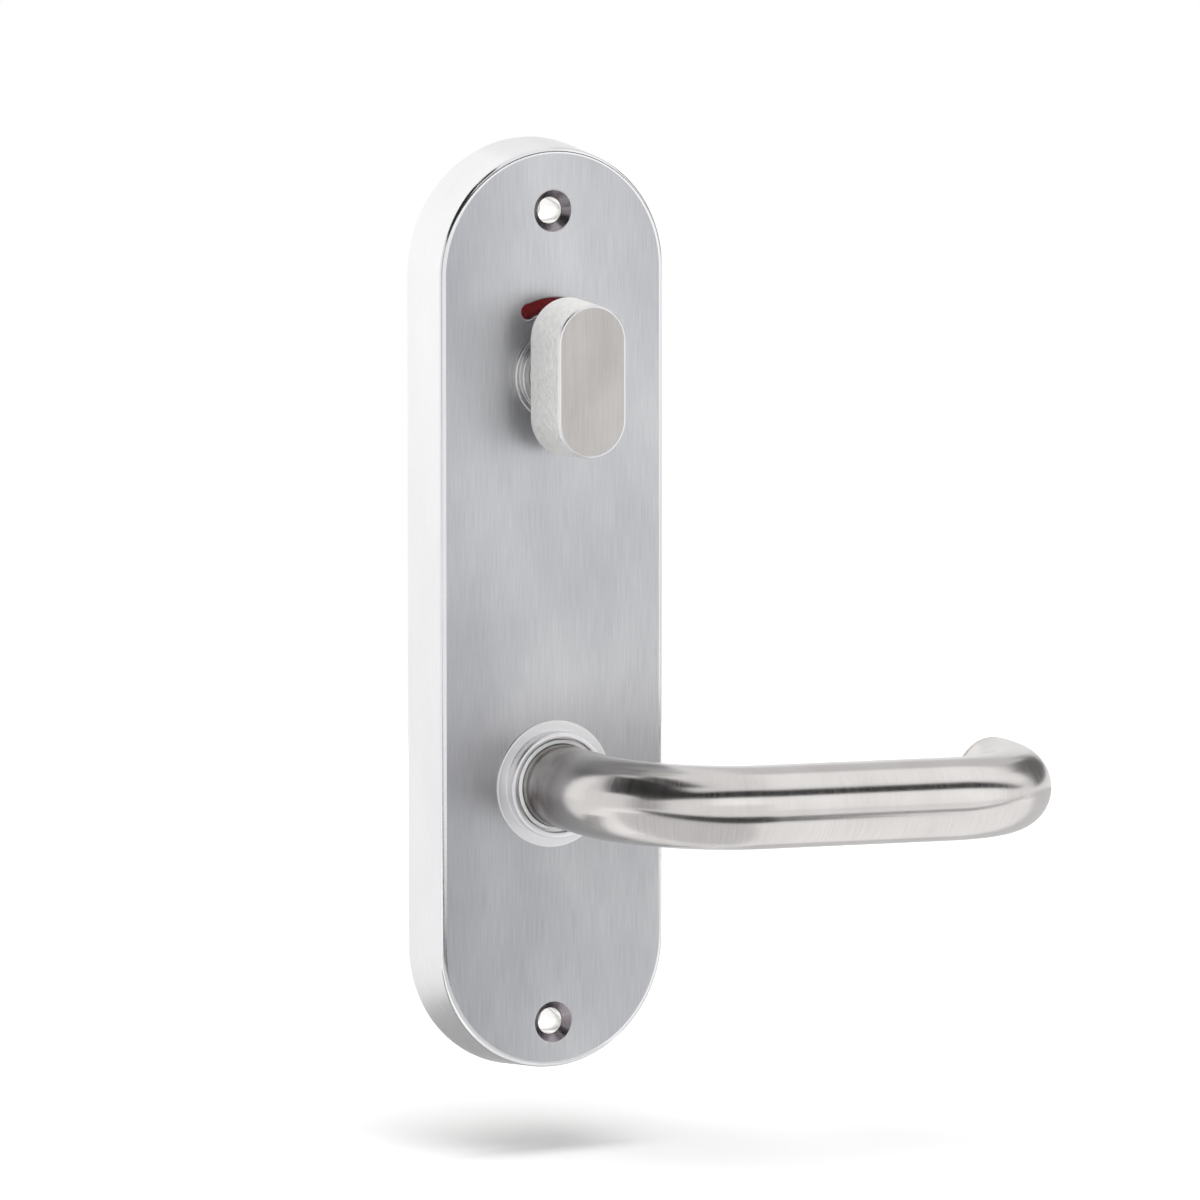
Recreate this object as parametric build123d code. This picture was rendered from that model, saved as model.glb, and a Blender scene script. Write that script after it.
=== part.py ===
from build123d import *
from math import atan2, cos, degrees, hypot, radians, sin, sqrt
import os

# Toilet indicator bolt: a lever, a turn and a red and green indicator on one long plate.
# Millimetres. The origin is the middle of the face that lies on the door, +X right, +Z up,
# and the front looks along -Y. "Ahead" always means the distance from the door face.

# Driving sizes of the plate
plate_height = 225.0
plate_width = 63.0
plate_lean = 1.6
front_wall = 2.0
side_wall = 1.6
rim_round = 1.2
pan_inner_round = 0.8

# Places on the centre line of the plate, each measured from the end that it is nearer to
top_hole_inset = 16.5
hole_to_turn = 39.0
bottom_hole_inset = 12.5
hole_to_lever = 58.0

top_hole_height = plate_height / 2 - top_hole_inset
turn_height = top_hole_height - hole_to_turn
bottom_hole_height = bottom_hole_inset - plate_height / 2
lever_height = bottom_hole_height + hole_to_lever

# Driving sizes of the lever
lever_tube_radius = 10.0
lever_tube_wall = 1.5
lever_stand_off = 50.0
lever_reach = 110.0
lever_bend_radius = 29.0
lever_end_straight = 0.5
lever_fall_angle = 2.0
lever_travel = 45.0

# Clearances
running_clearance = 0.05
seat_clearance = 0.03
free_clearance = 0.3
overrun = 1.0

# Thicknesses stacked between the door and the front of the plate, from the back
back_plate_thickness = 2.5
cassette_floor = 1.2
spring_wire = 1.2
spring_coil_gap = 0.45
spring_half_turns = 3
spring_sides = 8
spring_side_gap = 0.1
follower_wing = 1.0
cassette_cover_thickness = 1.2
clip_back_gap = 0.5
lever_clip_thickness = 1.0
lever_washer_thickness = 0.5
liner_flange_thickness = 1.05

spring_pitch = spring_wire + spring_coil_gap
spring_rise = spring_pitch * spring_half_turns / 2
cassette_space = spring_wire + spring_rise + follower_wing + 2 * spring_side_gap + 2 * running_clearance
cassette_floor_front = back_plate_thickness + cassette_floor
cassette_cover_back = cassette_floor_front + cassette_space
cassette_front = cassette_cover_back + cassette_cover_thickness
lever_clip_back = cassette_front + clip_back_gap
lever_clip_front = lever_clip_back + lever_clip_thickness
lever_washer_front = lever_clip_front + lever_washer_thickness
liner_back = lever_washer_front + running_clearance
cavity_front = liner_back + liner_flange_thickness
plate_depth = cavity_front + front_wall
lean_angle = degrees(atan2(plate_lean, plate_depth))


# Helpers: every piece is drawn on planes that lie parallel to the door


def ahead(distance, height=0.0):
    return Plane(origin=(0, -distance, height), x_dir=(1, 0, 0), z_dir=(0, -1, 0))


def rod(radius, back, front, height=0.0, side=0.0):
    return extrude(ahead(back, height) * Pos(side, 0) * Circle(radius), amount=front - back)


def ring(outer, inner, back, front, height=0.0, side=0.0):
    bore = rod(inner, back - overrun, front + overrun, height, side)
    return rod(outer, back, front, height, side) - bore


def square_bar(width, back, front, height=0.0):
    return extrude(ahead(back, height) * Rectangle(width, width), amount=front - back)


def block(left, right, bottom, top, back, front, height=0.0):
    outline = Pos((left + right) / 2, (bottom + top) / 2) * Rectangle(right - left, top - bottom)
    return extrude(ahead(back, height) * outline, amount=front - back)


def clock_plane(angle, height):
    # The plane through an axis across the door, at a clock angle from the top
    turn = radians(angle)
    return Plane(origin=(0, 0, height), x_dir=(sin(turn), 0, cos(turn)), z_dir=(cos(turn), 0, -sin(turn)))


def sector(inner, outer, back, front, first_angle, last_angle, height):
    profile = Pos((inner + outer) / 2, (back + front) / 2) * Rectangle(outer - inner, front - back)
    axis = Axis((0, 0, height), (0, 1, 0))
    return revolve(clock_plane(first_angle, height) * profile, axis, revolution_arc=last_angle - first_angle)


def clock_place(radius, angle):
    return radius * sin(radians(angle)), radius * cos(radians(angle))


def turned(outline, height=0.0):
    # A solid of revolution from (radius, ahead) points about an axis across the door
    profile = clock_plane(90, height) * make_face(Polyline(*outline, close=True))
    return revolve(profile, Axis((0, 0, height), (0, 1, 0)))


def countersunk_screw(head_radius, shaft_radius, length, side, height):
    # The head is a cone of 90 degrees, flush with the door face
    head_depth = head_radius - shaft_radius
    outline = [(0, 0), (head_radius, 0), (shaft_radius, head_depth), (shaft_radius, length), (0, length)]
    return Pos(side, 0, height) * turned(outline)


def countersunk_hole(head_radius, shaft_radius, thickness, side, height):
    return countersunk_screw(head_radius, shaft_radius, thickness + overrun, side, height)


# The fixing holes take M6 screws, which the photograph doesn't show

fixing_hole_radius = 3.2
fixing_countersink_radius = 5.0
fixing_sleeve_radius = 5.5
fixing_hole_heights = (top_hole_height, bottom_hole_height)


def fixing_sleeves():
    return [
        ring(fixing_sleeve_radius, fixing_hole_radius, back_plate_thickness, cavity_front, height)
        for height in fixing_hole_heights
    ]


# The posts under the cover take the screws from the back plate

post_radius = 3.5
post_side_inset = 11.5
post_end_inset = 28.5
post_screw_radius = 2.0
post_screw_head_radius = 3.8
post_screw_grip = 6.5
post_side = plate_width / 2 - post_side_inset
post_height = plate_height / 2 - post_end_inset
post_places = [(side, height) for side in (-post_side, post_side) for height in (-post_height, post_height)]


def cover_posts():
    bore_front = back_plate_thickness + post_screw_grip + free_clearance
    bore_radius = post_screw_radius + seat_clearance
    posts = []
    for side, height in post_places:
        post = rod(post_radius, back_plate_thickness, cavity_front, height, side)
        bore = rod(bore_radius, back_plate_thickness - overrun, bore_front, height, side)
        posts.append(post - bore)
    return posts


def back_screws():
    length = back_plate_thickness + post_screw_grip
    return [
        countersunk_screw(post_screw_head_radius, post_screw_radius, length, side, height)
        for side, height in post_places
    ]


# The indicator window: an arc slot about the turn axis, with a round lobe at each end

window_radius = 16.5
window_width = 3.4
window_half_angle = 23.5
window_lobe_radius = 1.9


def window_outline(grow=0.0):
    path = CenterArc((0, 0), window_radius, 90 - window_half_angle, 2 * window_half_angle)
    outline = SlotArc(path, window_width + 2 * grow)
    for angle in (-window_half_angle, window_half_angle):
        outline += Pos(*clock_place(window_radius, angle)) * Circle(window_lobe_radius + grow)
    return outline


lens_thickness = 0.8
lens_lap = 1.6


def window_lens():
    back = cavity_front - lens_thickness
    return extrude(ahead(back, turn_height) * window_outline(lens_lap), amount=lens_thickness)


# The lever runs in a nylon liner, inside a polished collar that stands on the plate

liner_wall = 1.0
liner_flange_lip = 2.9
liner_set_back = 0.3
collar_wall = 1.8
collar_spigot_wall = 1.1
collar_flange_lip = 2.5
collar_flange_thickness = 0.5
collar_height = 3.7
collar_groove_depth = 1.5
collar_groove_width = 0.4
collar_round = 0.8
liner_radius = lever_tube_radius + running_clearance + liner_wall
liner_flange_radius = liner_radius + liner_flange_lip
collar_bore_radius = liner_radius + seat_clearance
collar_spigot_radius = collar_bore_radius + collar_spigot_wall
collar_radius = collar_bore_radius + collar_wall
collar_flange_radius = collar_radius + collar_flange_lip
collar_front = plate_depth + collar_height


def lever_collar():
    flange_front = plate_depth + collar_flange_thickness
    groove_radius = collar_bore_radius + collar_groove_width
    outline = [
        (collar_bore_radius, cavity_front),
        (collar_spigot_radius, cavity_front),
        (collar_spigot_radius, plate_depth),
        (collar_flange_radius, plate_depth),
        (collar_flange_radius, flange_front),
        (collar_radius, flange_front),
        (collar_radius, collar_front),
        (groove_radius, collar_front),
        (groove_radius, collar_front - collar_groove_depth),
        (collar_bore_radius, collar_front - collar_groove_depth),
    ]
    body = turned(outline, lever_height)
    circles = body.edges().filter_by(GeomType.CIRCLE)
    outer_circles = circles.filter_by(lambda edge: abs(edge.radius - collar_radius) < seat_clearance)
    return fillet(outer_circles.sort_by(Axis.Y)[0], collar_round)


def lever_liner():
    bore_radius = lever_tube_radius + running_clearance
    sleeve = ring(liner_radius, bore_radius, liner_back, collar_front - liner_set_back, lever_height)
    return sleeve + ring(liner_flange_radius, bore_radius, liner_back, cavity_front, lever_height)


# The cover is a pressed pan with leaning sides, punched from the front


def leaning_slot(width, height, depth):
    return extrude(ahead(0) * SlotOverall(height, width, rotation=90), amount=depth, taper=lean_angle)


def cover_plate():
    pan = leaning_slot(plate_width, plate_height, plate_depth)
    front_edges = pan.edges().group_by(Axis.Y)[0]
    pan = fillet(front_edges, rim_round)
    cavity = leaning_slot(plate_width - 2 * side_wall, plate_height - 2 * side_wall, cavity_front)
    pan -= fillet(cavity.edges().group_by(Axis.Y)[0], pan_inner_round)
    for height in fixing_hole_heights:
        pan -= rod(fixing_hole_radius, cavity_front - overrun, plate_depth + overrun, height)
        countersink_depth = fixing_countersink_radius - fixing_hole_radius
        countersink = turned(
            [
                (0, plate_depth),
                (fixing_countersink_radius, plate_depth),
                (fixing_hole_radius, plate_depth - countersink_depth),
                (0, plate_depth - countersink_depth),
            ],
            height,
        )
        pan -= countersink
    spigots = ((collar_spigot_radius, lever_height), (turn_spigot_radius, turn_height))
    for radius, height in spigots:
        pan -= rod(radius + seat_clearance, cavity_front - overrun, plate_depth + overrun, height)
    window_place = ahead(cavity_front - overrun, turn_height)
    return pan - extrude(window_place * window_outline(), amount=front_wall + 2 * overrun)


# The spring cassette behind the lever: housing, cover, follower and torsion spring

follower_core_radius = 9.0
follower_journal_radius = 8.0
spring_room = 1.0
nose_width = 5.0
nose_end_gap = 1.0
stop_post_radius = 1.6
stop_width = 5.0
stop_root_gap = 3.3
cassette_side_gap = 2.0
cassette_wall = 1.4
cassette_screw_radius = 1.5
cassette_screw_head_radius = 2.9
cassette_boss_radius = 2.4
cassette_boss_angles = (0, 110, 290)

# The housing fills the pan from wall to wall, and the spring's legs reach up to its wall
cassette_radius = plate_width / 2 - side_wall - plate_lean * cassette_front / plate_depth - cassette_side_gap
cassette_inner_radius = cassette_radius - cassette_wall
spring_inner_side = follower_core_radius + spring_room
spring_radius = spring_inner_side + spring_wire / 2
spring_outer_side = spring_inner_side + spring_wire
spring_leg_height = sqrt((cassette_inner_radius - free_clearance) ** 2 - spring_outer_side**2)
stop_post_side = spring_inner_side - spring_side_gap - stop_post_radius
stop_post_height = spring_leg_height - stop_post_radius - spring_wire
horn_half_width = spring_inner_side - spring_side_gap
horn_sweep = hypot(stop_post_side, stop_post_height) - stop_post_radius - free_clearance
horn_height = sqrt(horn_sweep**2 - horn_half_width**2)
nose_length = cassette_inner_radius - nose_end_gap
stop_root = spring_outer_side + stop_root_gap
cassette_boss_place = horn_sweep + free_clearance + cassette_boss_radius
cassette_boss_places = [clock_place(cassette_boss_place, angle) for angle in cassette_boss_angles]
spring_back_axis = cassette_floor_front + spring_side_gap + spring_wire / 2
wing_back = spring_back_axis + spring_rise + spring_wire / 2 + spring_side_gap
follower_back = back_plate_thickness + running_clearance
follower_front = wing_back + follower_wing


def stop_block(side):
    # One of the two blocks that the nose of the follower swings between
    near = nose_width / 2 + running_clearance
    left, right = sorted((side * near, side * (near + stop_width)))
    bottom = -cassette_inner_radius
    solid = block(left, right, bottom, -stop_root, cassette_floor_front, cassette_cover_back, lever_height)
    return solid & rod(cassette_radius, back_plate_thickness, cassette_cover_back, lever_height)


def about_lever(solid, angle):
    return solid.rotate(Axis((0, 0, lever_height), (0, 1, 0)), angle)


def cassette_body():
    cup = rod(cassette_radius, back_plate_thickness, cassette_cover_back, lever_height)
    cup -= rod(cassette_inner_radius, cassette_floor_front, cassette_cover_back + overrun, lever_height)
    stop_post_place = lever_height + stop_post_height
    for side in (-stop_post_side, stop_post_side):
        cup += rod(stop_post_radius, back_plate_thickness, cassette_cover_back, stop_post_place, side)
    cup += stop_block(1)
    cup += about_lever(stop_block(-1), lever_travel)
    bore = cassette_screw_radius + seat_clearance
    bore_back = back_plate_thickness - overrun
    for side, height in cassette_boss_places:
        place = lever_height + height
        cup += rod(cassette_boss_radius, back_plate_thickness, cassette_cover_back, place, side)
        cup -= rod(bore, bore_back, cassette_cover_back + overrun, place, side)
    journal = follower_journal_radius + running_clearance
    return cup - rod(journal, bore_back, cassette_floor_front + overrun, lever_height)


def cassette_cover():
    bore = lever_tube_radius + running_clearance
    disc = ring(cassette_radius, bore, cassette_cover_back, cassette_front, lever_height)
    screw_bore = cassette_screw_radius + seat_clearance
    for side, height in cassette_boss_places:
        place = lever_height + height
        disc -= rod(screw_bore, cassette_cover_back - overrun, cassette_front + overrun, place, side)
    return disc


def cassette_screws():
    head = cassette_screw_head_radius
    return [
        countersunk_screw(head, cassette_screw_radius, cassette_front, side, lever_height + height)
        for side, height in cassette_boss_places
    ]


def return_spring():
    # One and a half turns of half circles that climb forward, with a straight leg up at each end
    def place(side, height, step):
        return (side, -(spring_back_axis + step * spring_pitch / 2), lever_height + height)

    half_chord = hypot(spring_radius, spring_pitch / 4)
    path = Line(place(spring_radius, spring_leg_height, 0), place(spring_radius, 0, 0))
    side = spring_radius
    for half_turn in range(spring_half_turns):
        middle_height = -half_chord if side > 0 else half_chord
        middle = place(0, middle_height, half_turn + 0.5)
        path += ThreePointArc(place(side, 0, half_turn), middle, place(-side, 0, half_turn + 1))
        side = -side
    last = spring_half_turns
    path += Line(place(side, 0, last), place(side, spring_leg_height, last))
    start = Plane(origin=place(spring_radius, spring_leg_height, 0), z_dir=(0, 0, -1))
    return sweep(start * RegularPolygon(spring_wire / 2, spring_sides), path=path)


def spring_follower():
    core = rod(follower_core_radius, cassette_floor_front + running_clearance, follower_front, lever_height)
    core += rod(follower_journal_radius, follower_back, cassette_floor_front + overrun, lever_height)
    core += block(-horn_half_width, horn_half_width, 0, horn_height, wing_back, follower_front, lever_height)
    horn_back = cassette_floor_front + spring_side_gap
    horn = block(-horn_half_width, horn_half_width, 0, horn_height, horn_back, follower_front, lever_height)
    coil_clear = spring_outer_side + free_clearance
    horn -= rod(coil_clear, horn_back - overrun, wing_back, lever_height)
    nose = block(-nose_width / 2, nose_width / 2, -nose_length, 0, wing_back, follower_front, lever_height)
    bore_width = spindle_width + 2 * seat_clearance
    bore = square_bar(bore_width, follower_back - overrun, follower_front + overrun, lever_height)
    return core + horn + nose - bore


# The lever: a bent tube on a hub, which turns the square spindle

spindle_width = 8.0
spindle_tail = 38.0
spindle_grip = 16.0
hub_front_wall = 2.0
hub_back = follower_front
hub_plug_back = cavity_front
clip_groove_depth = 1.1
clip_stand_out = 1.7
clip_opening_angle = 40.0
grub_screw_radius = 2.5
grub_screw_set_in = 0.5
spindle_front = hub_plug_back + spindle_grip
lever_bar_ahead = plate_depth + lever_stand_off
lever_end_ahead = lever_bar_ahead - lever_bend_radius - lever_end_straight
lever_bore_radius = lever_tube_radius - lever_tube_wall
grub_screw_ahead = (collar_front + spindle_front) / 2


def fallen(solid):
    # The bar falls a little from the neck to its tip
    return about_lever(solid, lever_fall_angle)


def grub_screw_hole():
    place = Plane(origin=(0, -grub_screw_ahead, lever_height), z_dir=(0, 0, -1))
    hole = place * Circle(grub_screw_radius + seat_clearance)
    return extrude(hole, amount=lever_tube_radius + overrun)


def lever_tube():
    corners = [
        (0, -hub_plug_back, lever_height),
        (0, -lever_bar_ahead, lever_height),
        (lever_reach, -lever_bar_ahead, lever_height),
        (lever_reach, -lever_end_ahead, lever_height),
    ]
    path = FilletPolyline(*corners, radius=lever_bend_radius)
    section = ahead(hub_plug_back, lever_height) * (Circle(lever_tube_radius) - Circle(lever_bore_radius))
    return fallen(sweep(section, path=path)) - grub_screw_hole()


end_cap_thickness = 1.5
end_cap_bevel = 0.6


def lever_end_cap():
    cap_back = lever_end_ahead - end_cap_thickness
    cap = rod(lever_tube_radius, cap_back, lever_end_ahead, lever_height, lever_reach)
    door_side_edge = cap.edges().filter_by(GeomType.CIRCLE).sort_by(Axis.Y)[-1]
    return fallen(chamfer(door_side_edge, end_cap_bevel))


def lever_hub():
    plug_front = spindle_front + hub_front_wall
    hub = rod(lever_tube_radius, hub_back, hub_plug_back, lever_height)
    hub += rod(lever_bore_radius - seat_clearance, hub_plug_back, plug_front, lever_height)
    groove_radius = lever_tube_radius - clip_groove_depth
    groove_back = lever_clip_back - seat_clearance
    groove_front = lever_clip_front + seat_clearance
    hub -= ring(lever_tube_radius + overrun, groove_radius, groove_back, groove_front, lever_height)
    bore_width = spindle_width + 2 * seat_clearance
    hub -= square_bar(bore_width, hub_back - overrun, spindle_front + seat_clearance, lever_height)
    return hub - grub_screw_hole()


def lever_spindle():
    return square_bar(spindle_width, -spindle_tail, spindle_front, lever_height)


def lever_grub_screw():
    tip = spindle_width / 2 + seat_clearance
    place = Plane(origin=(0, -grub_screw_ahead, lever_height - tip), z_dir=(0, 0, -1))
    return extrude(place * Circle(grub_screw_radius), amount=lever_tube_radius - grub_screw_set_in - tip)


def open_ring(outer, inner, back, front, opening_angle, height):
    return sector(inner, outer, back, front, opening_angle / 2, 360 - opening_angle / 2, height)


def lever_circlip():
    outer = lever_tube_radius + clip_stand_out
    inner = lever_tube_radius - clip_groove_depth + seat_clearance
    return open_ring(outer, inner, lever_clip_back, lever_clip_front, clip_opening_angle, lever_height)


lever_washer_lip = 3.0


def lever_washer():
    bore = lever_tube_radius + seat_clearance
    outer = lever_tube_radius + lever_washer_lip
    return ring(outer, bore, lever_clip_front, lever_washer_front, lever_height)


# The turn: knob, rose, bush and shank, with the indicator disc and the detent behind

shank_radius = 6.5
bush_wall = 1.4
bush_flange_lip = 2.5
bush_flange_thickness = 1.2
rose_spigot_wall = 1.2
rose_step_wall = 1.9
rose_lip = 1.3
rose_step_height = 2.0
rose_height = 3.4
rose_bevel = 0.5
bush_radius = shank_radius + running_clearance + bush_wall
bush_flange_radius = bush_radius + bush_flange_lip
rose_bore_radius = bush_radius + seat_clearance
turn_spigot_radius = rose_bore_radius + rose_spigot_wall
rose_step_radius = rose_bore_radius + rose_step_wall
rose_radius = rose_step_radius + rose_lip
rose_front = plate_depth + rose_height
bush_back = cavity_front - bush_flange_thickness


def turn_rose():
    step_front = plate_depth + rose_step_height
    body = ring(turn_spigot_radius, rose_bore_radius, cavity_front, plate_depth, turn_height)
    lower = rod(rose_radius, plate_depth, step_front, turn_height)
    upper = rod(rose_step_radius, step_front, rose_front, turn_height)
    lower = chamfer(lower.edges().sort_by(Axis.Y)[0], rose_bevel)
    upper = chamfer(upper.edges().sort_by(Axis.Y)[0], rose_bevel)
    bore = rod(rose_bore_radius, plate_depth - overrun, rose_front + overrun, turn_height)
    return body + (lower + upper - bore)


def turn_bush():
    bore = shank_radius + running_clearance
    sleeve = ring(bush_radius, bore, bush_back, rose_front, turn_height)
    return sleeve + ring(bush_flange_radius, bore, bush_back, cavity_front, turn_height)


knob_width = 18.0
knob_height = 36.5
knob_depth = 14.0
knob_lean = 0.8
knob_stand_off = 6.2
knob_front_bevel = 0.5
knob_back_round = 1.2
knob_neck_radius = 8.2
knob_screw_radius = 2.0
knob_screw_set_in = 0.5
knob_screw_bite = 0.8
shank_grip = 9.0
knob_back = plate_depth + knob_stand_off
shank_front = knob_back + shank_grip
knob_screw_ahead = knob_back + shank_grip / 2


def knob_screw(radius, outer):
    inner = shank_radius - knob_screw_bite
    place = Plane(origin=(inner, -knob_screw_ahead, turn_height), z_dir=(1, 0, 0))
    return extrude(place * Circle(radius), amount=outer - inner)


def turn_knob():
    wide = knob_width + 2 * knob_lean
    tall = knob_height + 2 * knob_lean
    lean = degrees(atan2(knob_lean, knob_depth))
    outline = SlotOverall(tall, wide, rotation=90)
    body = extrude(ahead(knob_back, turn_height) * outline, amount=knob_depth, taper=lean)
    body = chamfer(body.edges().group_by(Axis.Y)[0], knob_front_bevel)
    body = fillet(body.edges().group_by(Axis.Y)[-1], knob_back_round)
    body += rod(knob_neck_radius, rose_front + free_clearance, knob_back + knob_back_round, turn_height)
    bore = shank_radius + seat_clearance
    body -= rod(bore, rose_front - overrun, shank_front + seat_clearance, turn_height)
    return body - knob_screw(knob_screw_radius + seat_clearance, wide)


def turn_grub_screw():
    return knob_screw(knob_screw_radius, knob_width / 2 - knob_screw_set_in)


disc_radius = 21.0
disc_thickness = 0.8
colour_thickness = 0.15
colour_inner_radius = 12.5
colour_outer_radius = 20.5
green_first_angle = 22.0
green_last_angle = 130.0
red_first_angle = -60.0
disc_front = bush_back - running_clearance
disc_back = disc_front - disc_thickness

drive_width = 9.0
cam_width = 14.0
cam_depth = 4.0
cam_round = 2.5
turn_washer_thickness = 0.5
turn_washer_radius = 7.5
turn_clip_thickness = 0.9
turn_clip_radius = 7.0
shank_tail_radius = 4.4
shank_tail_end = 0.9
tail_bar_width = 5.0
tail_bar_length = 38.0
tail_bar_grip = 12.0
cam_back = disc_back - cam_depth
turn_washer_back = cam_back - turn_washer_thickness
turn_clip_back = turn_washer_back - turn_clip_thickness
shank_back = turn_clip_back - shank_tail_end
tail_bar_front = shank_back + tail_bar_grip


def turn_shank():
    drive = square_bar(drive_width, cam_back, disc_front, turn_height)
    shank = rod(shank_radius, disc_front, shank_front, turn_height)
    tail = rod(shank_tail_radius, shank_back, cam_back, turn_height)
    bore = square_bar(tail_bar_width + 2 * seat_clearance, shank_back - overrun, tail_bar_front, turn_height)
    dimple = knob_screw(knob_screw_radius + seat_clearance, shank_radius + overrun)
    return shank + drive + tail - bore - dimple


def tail_bar():
    return square_bar(tail_bar_width, -tail_bar_length, tail_bar_front - seat_clearance, turn_height)


def drive_hole(back, front):
    return square_bar(drive_width + 2 * seat_clearance, back - overrun, front + overrun, turn_height)


def indicator_disc():
    return rod(disc_radius, disc_back, disc_front, turn_height) - drive_hole(disc_back, disc_front)


def indicator_colour(first_angle, last_angle):
    inner = colour_inner_radius
    outer = colour_outer_radius
    front = disc_front + colour_thickness
    return sector(inner, outer, disc_front, front, first_angle, last_angle, turn_height)


def detent_cam():
    outline = RectangleRounded(cam_width, cam_width, cam_round)
    cam = extrude(ahead(cam_back, turn_height) * outline, amount=cam_depth)
    return cam - drive_hole(cam_back, disc_back)


def turn_washer():
    bore = shank_tail_radius + seat_clearance
    return ring(turn_washer_radius, bore, turn_washer_back, cam_back, turn_height)


def turn_circlip():
    bore = shank_tail_radius + seat_clearance
    front = turn_washer_back
    return open_ring(turn_clip_radius, bore, turn_clip_back, front, clip_opening_angle, turn_height)


# The leaf spring lies on a flat of the cam and is riveted to the back plate by its foot

leaf_thickness = 0.5
leaf_half_length = 14.0
leaf_foot_width = 9.0
leaf_foot_height = 11.0
rivet_side_shift = 0.6
rivet_radius = 1.5
rivet_head_radius = 2.5
rivet_head_thickness = 0.8
rivet_shares = (0.25, 0.75)
leaf_side = cam_width / 2 + spring_side_gap
leaf_bottom = turn_height - leaf_half_length
leaf_top = turn_height + leaf_half_length
leaf_foot_top = leaf_bottom + leaf_foot_height
leaf_front = disc_back - free_clearance
foot_front = back_plate_thickness + leaf_thickness
rivet_side = -(leaf_side + leaf_foot_width / 2 + rivet_side_shift)
rivet_heights = [leaf_bottom + leaf_foot_height * share for share in rivet_shares]


def detent_spring():
    # An upright blade beside the cam, cut away behind it above the foot
    back = back_plate_thickness
    near = -leaf_side
    far = near - leaf_thickness
    lower_blade = block(far, near, leaf_bottom, leaf_foot_top, back, leaf_front)
    upper_blade = block(far, near, leaf_foot_top, leaf_top, cam_back, leaf_front)
    foot = block(far - leaf_foot_width, near, leaf_bottom, leaf_foot_top, back, foot_front)
    spring = lower_blade + upper_blade + foot
    bore = rivet_radius + seat_clearance
    for height in rivet_heights:
        spring -= rod(bore, back - overrun, foot_front + overrun, height, rivet_side)
    return spring


def detent_rivets():
    rivets = []
    for height in rivet_heights:
        head = rod(rivet_head_radius, foot_front, foot_front + rivet_head_thickness, height, rivet_side)
        rivets.append(head + rod(rivet_radius, 0, foot_front, height, rivet_side))
    return rivets


# The back plate carries the cassette and closes the pan

back_plate_gap = 0.15
spindle_hole_radius = 7.0
tail_hole_radius = 5.0


def back_plate():
    lean_there = plate_lean * back_plate_thickness / plate_depth
    inset = side_wall + lean_there + back_plate_gap
    outline = SlotOverall(plate_height - 2 * inset, plate_width - 2 * inset, rotation=90)
    plate = extrude(ahead(0) * outline, amount=back_plate_thickness)
    hole_front = back_plate_thickness + overrun
    for height in fixing_hole_heights:
        plate -= rod(fixing_hole_radius, -overrun, hole_front, height)
    plate -= rod(spindle_hole_radius, -overrun, hole_front, lever_height)
    plate -= rod(tail_hole_radius, -overrun, hole_front, turn_height)
    for side, height in post_places:
        plate -= countersunk_hole(
            post_screw_head_radius + seat_clearance,
            post_screw_radius + seat_clearance,
            back_plate_thickness,
            side,
            height,
        )
    for side, height in cassette_boss_places:
        plate -= countersunk_hole(
            cassette_screw_head_radius + seat_clearance,
            cassette_screw_radius + seat_clearance,
            back_plate_thickness,
            side,
            lever_height + height,
        )
    for height in rivet_heights:
        plate -= rod(rivet_radius + seat_clearance, -overrun, hole_front, height, rivet_side)
    return plate


def indicator_green():
    return indicator_colour(green_first_angle, green_last_angle)


def indicator_red():
    return indicator_colour(red_first_angle, green_first_angle)


pieces = [
    cover_plate,
    back_plate,
    fixing_sleeves,
    cover_posts,
    back_screws,
    lever_collar,
    lever_liner,
    cassette_body,
    cassette_cover,
    cassette_screws,
    return_spring,
    turn_rose,
    turn_bush,
    window_lens,
    detent_spring,
    detent_rivets,
    lever_tube,
    lever_end_cap,
    lever_hub,
    lever_spindle,
    lever_grub_screw,
    lever_circlip,
    lever_washer,
    spring_follower,
    turn_knob,
    turn_shank,
    turn_grub_screw,
    tail_bar,
    indicator_disc,
    indicator_red,
    indicator_green,
    detent_cam,
    turn_washer,
    turn_circlip,
]

os.makedirs("parts", exist_ok=True)
for piece in pieces:
    made = piece()
    if isinstance(made, list):
        made = Compound(children=made)
    export_step(made, f"parts/{piece.__name__}.step")
    print(piece.__name__)
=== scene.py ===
import bmesh
import bpy
import numpy as np
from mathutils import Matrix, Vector


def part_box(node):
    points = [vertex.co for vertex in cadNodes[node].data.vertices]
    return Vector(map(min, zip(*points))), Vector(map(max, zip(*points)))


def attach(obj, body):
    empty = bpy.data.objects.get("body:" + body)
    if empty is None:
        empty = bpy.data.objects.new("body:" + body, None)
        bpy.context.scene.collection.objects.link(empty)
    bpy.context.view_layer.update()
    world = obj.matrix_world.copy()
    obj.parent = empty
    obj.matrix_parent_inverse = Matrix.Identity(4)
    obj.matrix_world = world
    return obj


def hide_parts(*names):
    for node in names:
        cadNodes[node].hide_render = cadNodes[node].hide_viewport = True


# Toilet indicator bolt. Lengths are millimetres for the pieces, and metres for the finishes and the studio.
# "ahead" is the distance in front of the door
millimetre = 0.001
mergeDistance = 3e-6
sharpAngle = 38.0
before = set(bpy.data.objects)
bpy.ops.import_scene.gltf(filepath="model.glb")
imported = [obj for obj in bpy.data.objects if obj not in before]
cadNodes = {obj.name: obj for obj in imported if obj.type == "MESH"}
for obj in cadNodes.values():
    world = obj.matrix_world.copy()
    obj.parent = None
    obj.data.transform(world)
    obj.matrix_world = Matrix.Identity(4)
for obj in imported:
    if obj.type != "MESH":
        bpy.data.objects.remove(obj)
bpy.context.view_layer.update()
print("frame loaded:", len(cadNodes), "nodes")

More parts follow.
